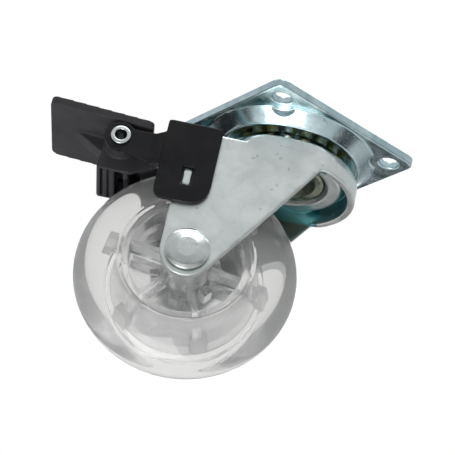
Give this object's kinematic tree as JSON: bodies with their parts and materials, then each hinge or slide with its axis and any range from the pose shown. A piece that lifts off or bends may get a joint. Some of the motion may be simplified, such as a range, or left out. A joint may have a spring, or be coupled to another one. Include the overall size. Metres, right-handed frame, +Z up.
{
  "type": "swivel caster",
  "caption": "Swivel caster: pressed square plate, ball-bearing fork, clear domed wheel on a riveted axle, and a rocking toe-brake pedal on a black bracket.",
  "frame": {"origin": "centre of the top plate's mounting face, on the swivel axis", "axes": "+Z up out of the mounting face, X and Y parallel to the plate's edges; at rest the wheel trails 144.1 degrees round from +X"},
  "size_m": [0.1067, 0.0924, 0.0948],
  "materials": {
    "plate_zinc": "bright zinc plating on pressed steel",
    "fork_zinc": "bright zinc plating on pressed steel",
    "rivet_steel": "plated steel rivet",
    "race_steel": "plated steel, smooth",
    "ball_steel": "bearing steel under yellow grease",
    "clear_tyre": "clear polyurethane, glossy",
    "clear_hub": "clear polycarbonate, glossy",
    "black_steel": "satin black coat on pressed steel",
    "pedal_plastic": "dark grey moulded nylon, satin"
  },
  "bodies": {
    "plate": {"top_plate": "plate_zinc", "kingpin": "rivet_steel", "lower_race": "race_steel"},
    "upper_balls": {"upper_ball_01": "ball_steel", "upper_ball_02": "ball_steel", "upper_ball_03": "ball_steel", "upper_ball_04": "ball_steel", "upper_ball_05": "ball_steel", "upper_ball_06": "ball_steel", "upper_ball_07": "ball_steel", "upper_ball_08": "ball_steel", "upper_ball_09": "ball_steel", "upper_ball_10": "ball_steel", "upper_ball_11": "ball_steel", "upper_ball_12": "ball_steel", "upper_ball_13": "ball_steel", "upper_ball_14": "ball_steel", "upper_ball_15": "ball_steel", "upper_ball_16": "ball_steel", "upper_ball_17": "ball_steel", "upper_ball_18": "ball_steel"},
    "lower_balls": {"lower_ball_01": "ball_steel", "lower_ball_02": "ball_steel", "lower_ball_03": "ball_steel", "lower_ball_04": "ball_steel", "lower_ball_05": "ball_steel", "lower_ball_06": "ball_steel", "lower_ball_07": "ball_steel", "lower_ball_08": "ball_steel", "lower_ball_09": "ball_steel", "lower_ball_10": "ball_steel", "lower_ball_11": "ball_steel", "lower_ball_12": "ball_steel", "lower_ball_13": "ball_steel", "lower_ball_14": "ball_steel"},
    "fork": {"fork": "fork_zinc", "axle_rivet": "rivet_steel", "axle_sleeve": "race_steel", "brake_bracket": "black_steel", "pedal_pivot": "rivet_steel"},
    "wheel": {"tyre": "clear_tyre", "hub": "clear_hub"},
    "pedal": {"brake_pedal": "pedal_plastic"}
  },
  "joints": [
    {"name": "swivel", "type": "hinge", "parent": "plate", "child": "fork", "pos_m": [0, 0, -0.009], "axis": [0, 0, 1], "continuous": true},
    {"name": "wheel_spin", "type": "hinge", "parent": "fork", "child": "wheel", "pos_m": [-0.02057, 0.01489, -0.0573], "axis": [-0.5864, -0.81, 0], "continuous": true},
    {"name": "brake_pedal", "type": "hinge", "parent": "fork", "child": "pedal", "pos_m": [-0.04536, 0.03284, -0.0203], "axis": [-0.5864, -0.81, 0], "range_deg": [0, 12]},
    {"name": "upper_ball_orbit", "type": "hinge", "parent": "plate", "child": "upper_balls", "pos_m": [0, 0, -0.009], "axis": [0, 0, 1], "continuous": true},
    {"name": "lower_ball_orbit", "type": "hinge", "parent": "plate", "child": "lower_balls", "pos_m": [0, 0, -0.0121], "axis": [0, 0, 1], "continuous": true}
  ],
  "couplings": [
    {"joint": "upper_ball_orbit", "follows": "swivel", "ratio": 0.5},
    {"joint": "lower_ball_orbit", "follows": "swivel", "ratio": 0.5}
  ]
}
